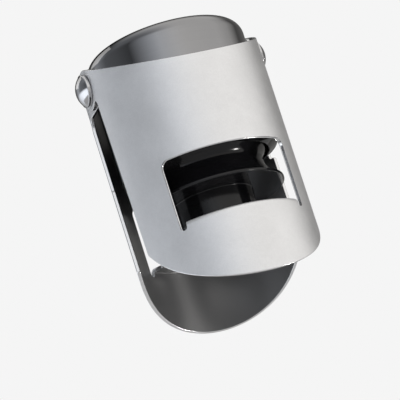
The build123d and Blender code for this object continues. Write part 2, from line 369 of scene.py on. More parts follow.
WING_STEEL = Metal(
    "wing_satin_steel",
    colour=(0.71, 0.712, 0.72),
    roughness=0.42,
    grain=Grain.SATIN,
    variation=0.06,
    bump_depth=0.004,
    edge_roughness=0.22,
)
CAP_STEEL = Metal(
    "cap_mirror_steel",
    colour=(0.27, 0.27, 0.276),
    roughness=0.07,
    grain=Grain.SPUN,
    variation=0.02,
    bump_depth=0.0006,
)
RIVET_STEEL = Metal(
    "rivet_bright_steel",
    colour=(0.5, 0.5, 0.51),
    roughness=0.12,
    grain=Grain.SPUN,
    variation=0.03,
    bump_depth=0.001,
)
WASHER_STEEL = Metal(
    "washer_steel",
    colour=(0.55, 0.55, 0.56),
    roughness=0.3,
    grain=Grain.POLISHED,
    variation=0.04,
    bump_depth=0.002,
)
WIRE_STEEL = Metal(
    "wire_steel",
    colour=(0.5, 0.5, 0.51),
    roughness=0.34,
    grain=Grain.DRAWN,
    variation=0.05,
    bump_depth=0.003,
)
HOUSING_BLACK = Moulded(
    "housing_gloss_black",
    colour=(0.006, 0.006, 0.007),
    roughness=0.07,
    pebble_scale=900.0,
    bump_depth=0.0005,
    shine=0.28,
)
SEAL_BLACK = Moulded(
    "seal_rubber_black",
    colour=(0.007, 0.007, 0.008),
    roughness=0.13,
    pebble_scale=1800.0,
    bump_depth=0.0008,
    shine=0.3,
)
PLUNGER_BLACK = Moulded("plunger_matte_black", colour=(0.05, 0.05, 0.054), roughness=0.5)
NYLON = Moulded("natural_nylon", colour=(0.6, 0.59, 0.55), roughness=0.42)


# Outlines, which keep the material on their left


def unit(rows: Array) -> Array:
    """Give each row at length 1."""
    return rows / np.maximum(np.linalg.norm(rows, axis=1, keepdims=True), NO_LENGTH)


def arc(centre: Sequence[float], radius: float, start: float, end: float, step: float) -> Array:
    """Sample an arc.

    Args:
        centre: its centre.
        radius: its radius.
        start: the first angle in degrees.
        end: the last angle in degrees, below start for a clockwise arc.
        step: the largest distance between points.

    Returns:
        The points centre + radius * (cos a, sin a) as rows, from start to end.
    """
    count = max(4, math.ceil(abs(math.radians(end - start)) * radius / step)) + 1
    angle = np.radians(np.linspace(start, end, count))
    return np.column_stack([np.cos(angle), np.sin(angle)]) * radius + np.array(centre)


def softened(
    corners: Sequence[tuple[float, float, float]], step: float, closed: bool = False
) -> Array:
    """Round the corners of a polygon.

    Each corner is cut back by radius * tan(half the turn) and joined by a tangent arc.

    Args:
        corners: x, y and radius of each corner, the radius 0 for a sharp one.
        step: the largest distance between the points of an arc.
        closed: whether the last corner joins the first.

    Returns:
        The points as rows.
    """
    rows = np.array(corners, dtype=float)
    spots, radii = rows[:, :2], rows[:, 2]
    ahead = unit(np.roll(spots, -1, axis=0) - spots)
    pieces = []
    for index, (spot, radius) in enumerate(zip(spots, radii)):
        ends = not closed and index in (0, len(spots) - 1)
        if radius == 0.0 or ends:
            pieces.append(spot[None])
            continue
        arrive, leave = ahead[index - 1], ahead[index]
        turn = math.atan2(arrive[0] * leave[1] - arrive[1] * leave[0], float(arrive @ leave))
        side = math.copysign(1.0, turn)
        back = radius * math.tan(abs(turn) / 2)
        inward = side * np.array([-arrive[1], arrive[0]])
        centre = spot - back * arrive + radius * inward
        start = math.degrees(math.atan2(-inward[1], -inward[0]))
        pieces.append(arc(centre, radius, start, start + math.degrees(turn), step))
    return np.vstack(pieces)


def split(points: Array, step: float, closed: bool) -> Array:
    """Divide each stretch into equal parts no longer than the step.

    Args:
        points: the outline's points.
        step: the longest part.
        closed: whether the last point joins the first.

    Returns:
        The points with the new ones between them.
    """
    last = np.roll(points, -1, axis=0) if closed else points[1:]
    first = points if closed else points[:-1]
    gap = last - first
    parts = np.maximum(1, np.ceil(np.linalg.norm(gap, axis=1) / step)).astype(int)
    place = np.arange(parts.sum()) - np.repeat(np.cumsum(parts) - parts, parts)
    share = (place / np.repeat(parts, parts))[:, None]
    dense = np.repeat(first, parts, axis=0) + share * np.repeat(gap, parts, axis=0)
    return dense if closed else np.vstack([dense, points[-1:]])


def guarded(points: Array, guard: float, closed: bool) -> Array:
    """Add a point just inside each end of a long stretch, so that it shades flat.

    Args:
        points: the outline's points.
        guard: the distance of the new points from the ends.
        closed: whether the last point joins the first.

    Returns:
        The points with the new ones between them.
    """
    last = np.roll(points, -1, axis=0) if closed else points[1:]
    first = points if closed else points[:-1]
    gap = last - first
    length = np.linalg.norm(gap, axis=1, keepdims=True)
    share = guard / np.maximum(length, NO_LENGTH)
    trio = np.stack([first, first + share * gap, last - share * gap], axis=1)
    keep = np.ones(trio.shape[:2], dtype=bool)
    keep[:, 1:] = length > 4 * guard
    dense = trio[keep]
    return dense if closed else np.vstack([dense, points[-1:]])


def ways_out(points: Array, closed: bool) -> Array:
    """Give the unit way out of the material at each point of an outline.

    It is the mean direction of the two stretches that meet there, turned right.

    Args:
        points: the outline's points, with the material on the left.
        closed: whether the last point joins the first.

    Returns:
        One unit vector for each point.
    """
    ahead = unit(np.roll(points, -1, axis=0) - points)
    behind = np.roll(ahead, 1, axis=0)
    if not closed:
        ahead[-1] = behind[-1]
        behind[0] = ahead[0]
    way = unit(ahead + behind)
    return np.column_stack([way[:, 1], -way[:, 0]])


# Meshes


@dataclass
class Skin:
    """Points, the way out at each, faces, and marks that a material reads."""

    points: Array
    normals: Array
    faces: list[Array]
    marks: dict[str, Array] = field(default_factory=dict)

    def moved(self, turn: Array, shift: Sequence[float] = (0.0, 0.0, 0.0)) -> Skin:
        """Give the same skin turned by a rotation matrix and then moved."""
        points = self.points @ turn.T + np.array(shift)
        return Skin(points, self.normals @ turn.T, self.faces, self.marks)

    def to_piece(
        self, name: str, finish: bpy.types.Material, slot: str, body: str, *nodes: str
    ) -> bpy.types.Object:
        """Put the skin into a mesh that rides on a body and stands for CAD nodes.

        Args:
            name: the piece's name.
            finish: its material.
            slot: the record's material slot; not used.
            body: the body that it moves with.
            nodes: the CAD nodes that it stands for.

        Returns:
            The new object.
        """
        mesh = bpy.data.meshes.new(name)
        faces = [row for group in self.faces for row in group.tolist()]
        mesh.from_pydata((self.points * MILLIMETRE).tolist(), [], faces)
        mesh.polygons.foreach_set("use_smooth", np.ones(len(faces), dtype=bool))
        for mark, values in self.marks.items():
            layer = mesh.attributes.new(mark, "FLOAT", "POINT")
            layer.data.foreach_set("value", values.astype(np.float32))
        mesh.normals_split_custom_set_from_vertices(self.normals.tolist())
        mesh.materials.append(finish)
        piece = bpy.data.objects.new(name, mesh)
        bpy.context.scene.collection.objects.link(piece)
        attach(piece, body)
        if nodes:
            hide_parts(*nodes)
        log.info("%s: %d points, %d faces, on %s", name, len(self.points), len(faces), body)
        return piece


def turned(outline: Array, closed: bool = False, around: int = 160) -> Skin:
    """Turn an outline about the Z axis.

    A point is (r cos a, r sin a, z) and its normal (n cos a, n sin a, m), where (r, z)
    is the outline's point and (n, m) its way out. A row on the axis is one point.

    Args:
        outline: rows of radius and height, with the material on the left.
        closed: whether the outline is a loop that stays clear of the axis.
        around: the number of parts of the turn.

    Returns:
        The turned skin.
    """
    outline = guarded(outline, FLAT_GUARD, closed)
    out = ways_out(outline, closed)
    angle = np.linspace(0.0, 2 * math.pi, around, endpoint=False)
    pole = outline[:, 0] < ON_AXIS
    size = np.where(pole, 1, around)
    start = np.cumsum(size) - size
    index = start[:, None] + np.where(pole[:, None], 0, np.arange(around))
    row = np.repeat(np.arange(len(outline)), size)
    turn = angle[np.arange(size.sum()) - start[row]]
    radius, height = outline[row].T
    away, up = out[row].T
    away = np.where(pole[row], 0.0, away)
    up = np.where(pole[row], np.sign(up), up)
    points = np.column_stack([radius * np.cos(turn), radius * np.sin(turn), height])
    normals = np.column_stack([away * np.cos(turn), away * np.sin(turn), up])
    low = index
    high = np.roll(index, -1, axis=0)
    at_low, at_high = pole, np.roll(pole, -1)
    if not closed:
        low, high, at_low, at_high = low[:-1], high[:-1], at_low[:-1], at_high[:-1]
    beside_low, beside_high = np.roll(low, -1, axis=1), np.roll(high, -1, axis=1)
    quads = np.stack([low, beside_low, beside_high, high], axis=-1)
    plain = ~at_low & ~at_high
    faces = [
        quads[plain].reshape(-1, 4),
        quads[at_low & ~at_high][..., [0, 2, 3]].reshape(-1, 3),
        quads[at_high & ~at_low][..., [0, 1, 2]].reshape(-1, 3),
    ]
    return Skin(points, normals, faces)


def laid_along_x(skin: Skin, side: int, height: float) -> Skin:
    """Lay a skin that was turned about Z on the pivot line, on side +1 or -1 of X."""
    turn = np.array(Matrix.Rotation(side * QUARTER, 3, "Y"))
    return skin.moved(turn, (0.0, 0.0, height))


# Rolled sheet


class Wing(Enum):
    """The two wings."""

    FRONT = "front_wing"
    REAR = "rear_wing"


@dataclass
class WingSheet:
    """One wing: a flat blank that is rolled, with its ears and its lip folded."""

    wing: Wing
    low_half_angle: float
    half_angle: float
    upper_half_angle: float
    bend_angle: float
    ear_face: float
    radius: float = 18.2
    sheet: float = 0.7
    pivot_height: float = 27.4
    ear_radius: float = 4.1
    ear_hole: float = 2.05
    scoop_front: float = 24.5
    tongue_bottom: float = -21.3
    blank_radius: float = 30.3
    step_height: float = 7.7
    corner_radius: float = 0.8
    inner_corner: float = 1.0
    window_half_angle: float = 44.5
    window_top: float = 5.8
    window_corner: float = 1.8
    notch_width: float = 1.7
    notch_bottom: float = -9.0
    fold_start: float = -8.05
    fold_radius: float = 0.95
    lip_bore: float = 15.3
    lip_corner: float = 0.5
    edge_round: float = 0.14
    blend_height: float = 3.0
    shoulder_round: float = 0.5
    grid_along: float = 0.55
    grid_up: float = 0.9
    grid_clear: float = 0.3
    step: float = 0.4
    corner_step: float = 0.12
    window_step: float = 0.15
    lip_step: float = 0.1
    round_step: float = 0.25
    fold_parts: int = 8
    lip_rows: int = 4
    tongue_parts: int = 59
    scoop_parts: int = 69

    # How far the lip is taken to reach past its edges, and a distance that is as none
    LIP_SLACK, CLOSE = 0.2, 1e-3
    # How far the side's points are kept clear of the bend's rows, below and above
    CLEAR_BELOW, CLEAR_ABOVE = 0.02, 0.1
    # How far before its corner the tongue's curve ends
    CORNER_REACH = 0.9
    # The grid's rows below the fold line, and how far the finer part of the grid goes
    ROWS_BELOW_FOLD, FOLD_REACH = (3.4, 2.5, 1.7, 1.0, 0.4), 4.0

    def __post_init__(self) -> None:
        """Work out what follows from the sizes.

        The bend before each ear turns from bend_angle to a quarter turn, with the radius
        that ends it on the plane of the ear's outer face. The scoop's slope is that of
        the line from its front edge that touches the ears' round from above: for the
        radius R, the ear e and the drop d it is (R d + e sqrt(R^2 + d^2 - e^2)) / (R^2 - e^2).
        """
        angle = math.radians(self.bend_angle)
        start_x, start_y = self.radius * math.sin(angle), -self.radius * math.cos(angle)
        self.bend_radius = (self.ear_face - start_x) / (1 - math.sin(angle))
        self.bend_start = self.radius * angle
        self.bend_end = self.bend_start + self.bend_radius * (QUARTER - angle)
        self.flat_start = start_y + self.bend_radius * math.cos(angle)
        self.pivot_along = self.bend_end - self.flat_start
        self.fold_length = self.fold_radius * QUARTER
        self.lip_end = (
            self.fold_start + self.fold_length + self.radius - self.fold_radius - self.lip_bore
        )
        self.window_half = self.radius * math.radians(self.window_half_angle)
        self.lip_half = self.window_half - self.notch_width
        drop = self.pivot_height - self.scoop_front
        far = math.sqrt(self.radius**2 + drop**2 - self.ear_radius**2)
        rise = self.radius * drop + self.ear_radius * far
        self.slope = rise / (self.radius**2 - self.ear_radius**2)

    def _plan(self, along: Array) -> tuple[Array, Array, Array]:
        """Follow the outer face in plan.

        Up to bend_start it is the rolled cylinder, then an arc of bend_radius that turns
        on to a quarter turn, and then a straight run along Y.

        Args:
            along: distances along the face from the middle, negative to the left.

        Returns:
            The X and Y of each point, and its heading as an angle from +X.
        """
        far = np.abs(along)
        angle = math.radians(self.bend_angle)
        rolled = np.minimum(far, self.bend_start) / self.radius
        bent = np.clip(far - self.bend_start, 0.0, self.bend_end - self.bend_start)
        heading = rolled + bent / self.bend_radius
        turned_on = np.maximum(heading, angle)
        bend, side = self.bend_radius, np.sign(along)
        x = self.radius * np.sin(rolled) + bend * (np.sin(turned_on) - math.sin(angle))
        y = bend * (math.cos(angle) - np.cos(turned_on)) - self.radius * np.cos(rolled)
        return side * x, y + np.maximum(far - self.bend_end, 0.0), side * heading

    def _shape(self, along: Array, up: Array, depth: Array, lip: Array) -> Array:
        """Place points of the blank in space.

        A point lies at the plan's point minus depth times the way out. Below the arms of
        the rear wing it eases into the plain cylinder. On the lip, the distance past the
        fold line is spent on a quarter bend of fold_radius and then on a straight run
        towards the axis.

        Args:
            along: distances along the outer face.
            up: heights on the blank.
            depth: distances inwards from the outer face.
            lip: whether each point belongs to the lip.

        Returns:
            Rows of X, Y and Z.
        """
        x, y, heading = self._plan(along)
        bent = np.column_stack([x - depth * np.sin(heading), y + depth * np.cos(heading)])
        angle = along / self.radius
        plain_radius = self.radius - depth
        plain = np.column_stack([plain_radius * np.sin(angle), -plain_radius * np.cos(angle)])
        low = self.pivot_height - self.ear_radius - self.blend_height
        share = np.clip((up - low) / self.blend_height, 0.0, 1.0)
        share = (share * share * (3 - 2 * share))[:, None]
        spots = np.column_stack([plain * (1 - share) + bent * share, up])
        past = np.maximum(up - self.fold_start, 0.0)
        fold = np.minimum(past / self.fold_radius, QUARTER)
        run = np.maximum(past - self.fold_length, 0.0)
        reach = self.radius - self.fold_radius * (1 - np.cos(fold)) - run - depth * np.cos(fold)
        rise = self.fold_start + (self.fold_radius - depth) * np.sin(fold)
        folded = np.column_stack([reach * np.sin(angle), -reach * np.cos(angle), rise])
        return np.where(lip[:, None], folded, spots)

    def _is_lip(self, spots: Array) -> Array:
        """Tell which points of the blank lie on the lip, past its fold line."""
        near = np.abs(spots[:, 0]) < self.lip_half + self.LIP_SLACK
        above, top = spots[:, 1] > self.fold_start, self.lip_end + self.LIP_SLACK
        return near & above & (spots[:, 1] < top)

    def _frame(self, spots: Array, depth: Array, lip: Array) -> tuple[Array, Array, Array]:
        """Measure the sheet's own directions by small steps on the blank.

        Args:
            spots: rows of along and up.
            depth: the depth of each.
            lip: whether each belongs to the lip.

        Returns:
            Unit vectors along, up and out of the sheet.
        """
        along, up = spots.T
        ways = [
            unit(
                self._shape(along + right, up + higher, depth, lip)
                - self._shape(along - right, up - higher, depth, lip)
            )
            for right, higher in ((SLOPE_STEP, 0.0), (0.0, SLOPE_STEP))
        ]
        return *ways, unit(np.cross(*ways))

    def _scoop(self, along: Array) -> Array:
        """Give the height of the scooped upper edge, a slope in side view."""
        top = self.pivot_height + self.ear_radius * math.hypot(1.0, self.slope)
        return top + self.slope * self._plan(along)[1]

    def _outer_half(self) -> Array:
        """Draw the right half of the blank's outer edge, from the bottom to the top."""
        half, upper, low = (
            self.radius * math.radians(angle)
            for angle in (self.half_angle, self.upper_half_angle, self.low_half_angle)
        )
        sweep = np.linspace(0.0, low - self.CORNER_REACH, self.tongue_parts + 1)
        tongue = np.column_stack([sweep, self._tongue(sweep)])
        lean = math.degrees(math.atan(self.slope))
        corners = [(*tongue[-1], 0.0), (low, self._tongue(low), self.corner_radius)]
        if self.wing is Wing.REAR:
            arm_low = self.pivot_height - self.ear_radius
            corners += [
                (half, self.step_height, self.shoulder_round),
                (upper, self.step_height, self.shoulder_round),
                (upper, arm_low, self.inner_corner),
                (self.pivot_along, arm_low, 0.0),
            ]
            edge = softened(corners, self.corner_step)
            first = 270.0
        else:
            reach = self.ear_radius + self.inner_corner
            across = self.pivot_along - half - self.inner_corner
            down = math.sqrt(reach**2 - across**2)
            centre = (half + self.inner_corner, self.pivot_height - down)
            aim = math.degrees(math.atan2(down, across))
            corners.append((half, centre[1], 0.0))
            fillet = arc(centre, self.inner_corner, 180.0, aim, self.corner_step)
            edge = np.vstack([softened(corners, self.corner_step), fillet[1:]])
            first = 180.0 + aim
        ear = (self.pivot_along, self.pivot_height)
        round_ear = arc(ear, self.ear_radius, first, 450.0 + lean, self.round_step)[1:]
        home = np.linspace(round_ear[-1, 0], 0.0, self.scoop_parts + 1)[1:]
        scoop = np.column_stack([home, self._scoop(home)])
        return np.vstack([tongue[:-1], edge, round_ear, scoop])

    def _tongue(self, along: Array | float) -> Array | float:
        """Give the height of the lower edge, one round arc of the flat blank."""
        return self.tongue_bottom + self.blank_radius - (self.blank_radius**2 - along**2) ** 0.5

    def _loops(self) -> list[Array]:
        """Draw every edge of the blank, with the material on its left."""
        right = self._outer_half()
        outer = np.vstack([right, (right * MIRROR)[::-1][1:-1]])
        bend = self.notch_width / 2
        notch = self.notch_bottom + bend
        corners = [
            (0.0, self.window_top, 0.0),
            (-self.window_half, self.window_top, self.window_corner),
            (-self.window_half, notch, 0.0),
        ]
        hollow = arc((bend - self.window_half, notch), bend, 180.0, 360.0, self.window_step)
        lip = [
            (-self.lip_half, notch, 0.0),
            (-self.lip_half, self.lip_end, self.lip_corner),
            (0.0, self.lip_end, 0.0),
        ]
        rims = softened(corners, self.window_step), softened(lip, self.lip_step)
        left = np.vstack([rims[0], hollow[1:], rims[1][1:]])
        window = np.vstack([left, (left * MIRROR)[::-1][1:-1]])
        holes = [
            arc((spot, self.pivot_height), self.ear_hole, 360.0, 0.0, self.round_step)[:-1]
            for spot in (self.pivot_along, -self.pivot_along)
        ]
        return [outer, self._with_fold_points(window), *holes]

    def _fold_rows(self) -> Array:
        """Give the heights on the blank that divide the lip's bend."""
        return self.fold_start + np.linspace(0.0, self.fold_length, self.fold_parts + 1)

    def _with_fold_points(self, window: Array) -> Array:
        """Divide the lip's two sides just at the rows of its bend."""
        coarse = split(window, self.step, True)
        fold = self._fold_rows()
        keep = (
            (np.abs(np.abs(coarse[:, 0]) - self.lip_half) > self.CLOSE)
            | (coarse[:, 1] < fold[0] - self.CLEAR_BELOW)
            | (coarse[:, 1] > fold[-1] + self.CLEAR_ABOVE)
        )
        gap = np.flatnonzero(np.diff(np.flatnonzero(keep)) > 1) + 1
        before, between, after = np.split(coarse[keep], gap)
        rising = np.column_stack([np.full(len(fold), -self.lip_half), fold])
        return np.vstack([before, rising, between, (rising * MIRROR)[::-1], after])

    def _inner_points(self, loops: Sequence[Array]) -> Array:
        """Lay a grid inside the blank, with rows that follow the bend of the lip.

        Args:
            loops: the edges of the flat faces.

        Returns:
            The grid's points that lie inside and clear of the edges.
        """
        reach = self.pivot_along + self.ear_radius
        columns = np.linspace(-reach, reach, round(2 * reach / self.grid_along) + 1)
        top = self.pivot_height + self.ear_radius
        plain = crossings(columns, np.arange(self.tongue_bottom, top, self.grid_up))
        lip_reach = self.lip_half + self.notch_width
        near = np.abs(plain[:, 0]) < lip_reach
        near &= np.abs(plain[:, 1] - self.fold_start) < self.FOLD_REACH
        fold = self._fold_rows()
        flat = np.linspace(fold[-1] + self.ROWS_BELOW_FOLD[-1], self.lip_end, self.lip_rows)
        below = self.fold_start - np.array(self.ROWS_BELOW_FOLD)
        rows = np.concatenate([below, fold, flat])
        lip_grid = crossings(columns[np.abs(columns) < lip_reach], rows)
        spots = np.vstack([plain[~near], lip_grid])
        spots = spots[inside(spots, loops)]
        gap = np.linalg.norm(spots[:, None] - np.vstack(loops)[None], axis=2).min(axis=1)
        return spots[gap > self.grid_clear]

    def build(self) -> Skin:
        """Build the wing's closed skin.

        Two flat faces of the blank, at depth 0 and at the sheet's thickness, share one
        set of triangles. Round each edge runs a profile: a quarter round from the outer
        face, the cut, and a quarter round into the inner face. Then all is rolled.

        Returns:
            The skin, with two marks: polish is 0 on the outer face and 1 elsewhere, and
            inner is 1 on the inner face alone.
        """
        loops = [split(loop, self.step, True) for loop in self._loops()]
        outs = [ways_out(loop, True) for loop in loops]
        inset = [loop - self.edge_round * out for loop, out in zip(loops, outs)]
        flat = np.vstack([*inset, self._inner_points(inset)])
        triangles = fill(flat, inset)
        count = len(flat)
        lip = self._is_lip(flat)
        points, normals = [], []
        for level, side in ((0.0, 1.0), (self.sheet, -1.0)):
            depth = np.full(count, level)
            points.append(self._shape(*flat.T, depth, lip))
            normals.append(side * self._frame(flat, depth, lip)[2])
        faces: list[Array] = [triangles, triangles[:, ::-1] + count]
        turn = np.radians([22.5, 45.0, 67.5, 90.0])
        lean = np.concatenate([turn, np.pi - turn[::-1]])
        parts = len(lean)
        proud = np.sin(lean)[:, None] * self.edge_round
        edge_depth = self.edge_round * (1 - np.cos(lean))
        edge_depth[len(turn) :] += self.sheet - 2 * self.edge_round
        first, total = 0, 2 * count
        for loop, out in zip(inset, outs):
            size = len(loop)
            spots = (loop[:, None] + proud * out[:, None]).reshape(-1, 2)
            depth, tilt = np.tile(edge_depth, size), np.tile(lean, size)[:, None]
            edge_lip = np.repeat(self._is_lip(loop), parts)
            points.append(self._shape(*spots.T, depth, edge_lip))
            ahead, above, face = self._frame(spots, depth, edge_lip)
            sides = np.repeat(out, parts, axis=0)
            side_way = sides[:, :1] * ahead + sides[:, 1:] * above
            normals.append(np.cos(tilt) * face + np.sin(tilt) * side_way)
            own = np.arange(size)
            band = total + own[:, None] * parts + np.arange(parts)
            columns = np.column_stack([first + own, band, first + own + count])
            beside = np.roll(columns, -1, axis=0)
            quads = [columns[:, :-1], columns[:, 1:], beside[:, 1:], beside[:, :-1]]
            faces.append(np.stack(quads, axis=-1).reshape(-1, 4))
            first += size
            total += len(spots)
        number = np.arange(total)
        marks = {"polish": number >= count, "inner": (number >= count) & (number < 2 * count)}
        skin = Skin(np.vstack(points), np.vstack(normals), faces, marks)
        if self.wing is Wing.REAR:
            skin = skin.moved(np.diag([-1.0, -1.0, 1.0]))
        return skin

    def dress(self, finish: bpy.types.Material) -> bpy.types.Object:
        """Put the wing into the scene on its own body."""
        name = self.wing.value
        return self.build().to_piece(name + "_sheet", finish, "wing_brushed", name, name)


WINGS = [
    WingSheet(
        Wing.FRONT,
        low_half_angle=75.4,
        half_angle=78.8,
        upper_half_angle=78.8,
        bend_angle=77.0,
        ear_face=17.92,
    ),
    WingSheet(
        Wing.REAR,
        low_half_angle=75.0,
        half_angle=75.0,
        upper_half_angle=70.6,
        bend_angle=62.0,
        ear_face=17.01,
    ),
]


def crossings(columns: Array, rows: Array) -> Array:
    """Give the points where columns and rows cross."""
    return np.column_stack([part.ravel() for part in np.meshgrid(columns, rows)])


def inside(spots: Array, loops: Sequence[Array]) -> Array:
    """Tell which points lie inside closed loops.

    A point is inside where a ray along +X crosses the loops an odd number of times.

    Args:
        spots: the points to test.
        loops: the loops, holes among them.

    Returns:
        One truth value for each point.
    """
    start = np.vstack(loops)
    end = np.vstack([np.roll(loop, -1, axis=0) for loop in loops])
    x, y = spots[:, :1], spots[:, 1:]
    spans = (start[:, 1] > y) != (end[:, 1] > y)
    rise = end[:, 1] - start[:, 1]
    rise = np.where(rise == 0.0, 1.0, rise)
    meet = start[:, 0] + (y - start[:, 1]) * (end[:, 0] - start[:, 0]) / rise
    return (spans & (x < meet)).sum(axis=1) % 2 == 1


def fill(spots: Array, loops: Sequence[Array]) -> Array:
    """Fill the space between loops with triangles on the given points.

    Args:
        spots: the points, the loops' own first and in order.
        loops: the loops, holes among them.

    Returns:
        Rows of three point numbers, counterclockwise.
    """
    sizes = np.array([len(loop) for loop in loops])
    start = np.repeat(np.cumsum(sizes) - sizes, sizes)
    own = np.arange(sizes.sum())
    following = start + (own - start + 1) % np.repeat(sizes, sizes)
    edges = np.column_stack([own, following]).tolist()
    result = delaunay_2d_cdt([Vector(spot) for spot in spots.tolist()], edges, [], 0, 1e-7)
    made, _, triangles, origins = result[:4]
    if len(made) != len(spots):
        raise ValueError("the blank's edges cross or touch")
    first = np.array([group[0] for group in origins])
    rows = first[np.array(triangles)]
    middle = spots[rows].mean(axis=1)
    rows = rows[inside(middle, loops)]
    a, b, c = (spots[rows[:, index]] for index in range(3))
    area = (b - a)[:, 0] * (c - a)[:, 1] - (b - a)[:, 1] * (c - a)[:, 0]
    return np.where((area > 0)[:, None], rows, rows[:, ::-1])


# Cap, housing and rivets


@dataclass
class CapAssembly:
    """The polished cap, the black housing below it and the two rivets."""

    radius: float = 16.1
    wall: float = 0.6
    top: float = 33.8
    edge: float = 23.8
    shoulder: float = 3.0
    edge_round: float = 0.12
    housing_radius: float = 16.0
    neck_radius: float = 15.47
    housing_top: float = 33.2
    housing_round: float = 2.4
    mouth_height: float = 6.7
    mouth_bore: float = 13.8
    mouth_edge: float = 14.0
    mouth_chamfer: float = 1.2
    bore_top: float = 14.9
    chamber_radius: float = 10.0
    web_bottom: float = 23.4
    web_top: float = 26.0
    bush_hole: float = 4.67
    pocket_radius: float = 8.0
    pivot_height: float = 27.4
    rivet_end: float = 10.1
    rivet_radius: float = 1.5
    journal_start: float = 16.13
    journal_radius: float = 2.0
    head_start: float = 17.95
    head_radius: float = 3.3
    head_rim: float = 0.72
    dome_radius: float = 3.12
    dome_height: float = 1.36
    # Radii of the housing's edges: at its mouth, its chamfer, outside and inside
    mouth_round: float = 0.09
    chamfer_round: float = 0.5
    outer_round: float = 0.1
    inner_round: float = 0.2
    # Radii of the rivets' edges: shank, journal, below the head, head and rim
    shank_round: float = 0.15
    journal_round: float = 0.05
    neck_round: float = 0.04
    head_round: float = 0.12
    rim_round: float = 0.08
    # How finely the outlines are divided
    cap_step: float = 0.15
    housing_step: float = 0.1
    rivet_step: float = 0.05
    dome_parts: int = 21
    rivet_around: int = 72

    def _cap(self) -> Skin:
        """Turn the drawn cap: side, shoulder and crown, with its wall inside."""
        bore = self.radius - self.wall
        corners = [
            (0.0, self.top - self.wall, 0.0),
            (bore, self.top - self.wall, self.shoulder - self.wall),
            (bore, self.edge, self.edge_round),
            (self.radius, self.edge, self.edge_round),
            (self.radius, self.top, self.shoulder),
            (0.0, self.top, 0.0),
        ]
        return turned(softened(corners, self.cap_step))

    def _housing(self) -> Skin:
        """Turn the housing: mouth, chamfer, side, neck, and its bores inside."""
        chamfer_top = self.mouth_height + self.mouth_chamfer
        corners = [
            (self.mouth_bore, self.bore_top, self.inner_round),
            (self.mouth_bore, self.mouth_height, self.mouth_round),
            (self.mouth_edge, self.mouth_height, self.mouth_round),
            (self.housing_radius, chamfer_top, self.chamfer_round),
            (self.housing_radius, self.edge, self.outer_round),
            (self.neck_radius, self.edge, self.outer_round),
            (self.neck_radius, self.housing_top, self.housing_round),
            (self.pocket_radius, self.housing_top, self.inner_round),
            (self.pocket_radius, self.web_top, self.inner_round),
            (self.bush_hole, self.web_top, self.outer_round),
            (self.bush_hole, self.web_bottom, self.outer_round),
            (self.chamber_radius, self.web_bottom, self.inner_round),
            (self.chamber_radius, self.bore_top, self.inner_round),
        ]
        return turned(softened(corners, self.housing_step, True), True)

    def _rivet(self, side: int) -> Skin:
        """Turn a rivet: shank, journal and a head with a thin rim round a low dome."""
        rim_top = self.head_start + self.head_rim
        ball = (self.dome_radius**2 + self.dome_height**2) / (2 * self.dome_height)
        rise = np.linspace(math.asin(self.dome_radius / ball), 0.0, self.dome_parts + 1)
        heights = rim_top + self.dome_height + ball * (np.cos(rise) - 1.0)
        dome = np.column_stack([ball * np.sin(rise), heights])
        corners = [
            (0.0, self.rivet_end, 0.0),
            (self.rivet_radius, self.rivet_end, self.shank_round),
            (self.rivet_radius, self.journal_start, self.journal_round),
            (self.journal_radius, self.journal_start, self.journal_round),
            (self.journal_radius, self.head_start, self.neck_round),
            (self.head_radius, self.head_start, self.head_round),
            (self.head_radius, rim_top, self.rim_round),
            (self.dome_radius, rim_top, 0.0),
        ]
        outline = np.vstack([softened(corners, self.rivet_step)[:-1], dome])
        skin = turned(outline, around=self.rivet_around)
        return laid_along_x(skin, side, self.pivot_height)

    def dress(self) -> None:
        """Put the cap's own pieces into the scene."""
        self._cap().to_piece("cap_drum", CAP_STEEL.make(), "cap_polished", "cap", "cap_shell")
        black = HOUSING_BLACK.make()
        self._housing().to_piece("housing_body", black, "housing_black", "cap", "housing")
        steel, slot = RIVET_STEEL.make(), "rivet_polished"
        for word, side in (("right", 1), ("left", -1)):
            rivet = self._rivet(side)
            rivet.to_piece("rivet_" + word, steel, slot, "cap", "pivot_rivet_" + word)


# Seal and what holds it


